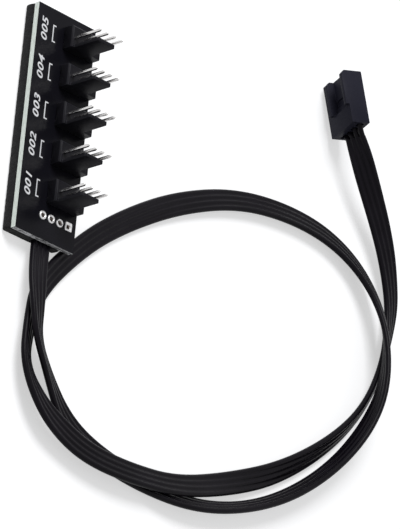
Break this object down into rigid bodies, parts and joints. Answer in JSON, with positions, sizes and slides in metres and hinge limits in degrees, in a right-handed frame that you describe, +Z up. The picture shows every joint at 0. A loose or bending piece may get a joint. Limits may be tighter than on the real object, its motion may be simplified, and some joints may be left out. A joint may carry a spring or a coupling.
{
  "type": "fan hub",
  "caption": "Small board on a foam pad with a row of four-pin fan headers, a flat cable in loose loops and a keyed plug.",
  "frame": {"origin": "middle of the board in plan, at the underside of the foam pad, which rests on the surface", "axes": "+Y along the board away from the cable, +X across it towards the headers, +Z up off the board"},
  "size_m": [0.1442, 0.1352, 0.0164],
  "materials": {
    "board": "black solder resist over glass fibre board",
    "foam": "matte closed-cell foam with an adhesive face",
    "header": "satin moulded nylon",
    "pin": "bright tin plate",
    "solder": "soft bright solder",
    "core": "tinned copper wire",
    "lead": "satin soft vinyl",
    "cable": "satin soft vinyl, ribbed over its four cores",
    "plug": "satin moulded nylon",
    "contact": "tin-plated phosphor bronze"
  },
  "bodies": {
    "root": {"board_lead_1": "lead", "board_lead_2": "lead", "board_lead_3": "lead", "board_lead_4": "lead", "circuit_board": "board", "contact_1": "contact", "contact_2": "contact", "contact_3": "contact", "contact_4": "contact", "flat_cable": "cable", "foam_pad": "foam", "header_1": "header", "header_2": "header", "header_3": "header", "header_4": "header", "header_5": "header", "pin_1_1": "pin", "pin_1_2": "pin", "pin_1_3": "pin", "pin_1_4": "pin", "pin_2_1": "pin", "pin_2_2": "pin", "pin_2_3": "pin", "pin_2_4": "pin", "pin_3_1": "pin", "pin_3_2": "pin", "pin_3_3": "pin", "pin_3_4": "pin", "pin_4_1": "pin", "pin_4_2": "pin", "pin_4_3": "pin", "pin_4_4": "pin", "pin_5_1": "pin", "pin_5_2": "pin", "pin_5_3": "pin", "pin_5_4": "pin", "pin_solder_1": "solder", "pin_solder_2": "solder", "pin_solder_3": "solder", "pin_solder_4": "solder", "pin_solder_5": "solder", "plug_housing": "plug", "plug_lead_1": "lead", "plug_lead_2": "lead", "plug_lead_3": "lead", "plug_lead_4": "lead", "wire_core_1": "core", "wire_core_2": "core", "wire_core_3": "core", "wire_core_4": "core", "wire_joint_1": "solder", "wire_joint_2": "solder", "wire_joint_3": "solder", "wire_joint_4": "solder"}
  },
  "joints": []
}
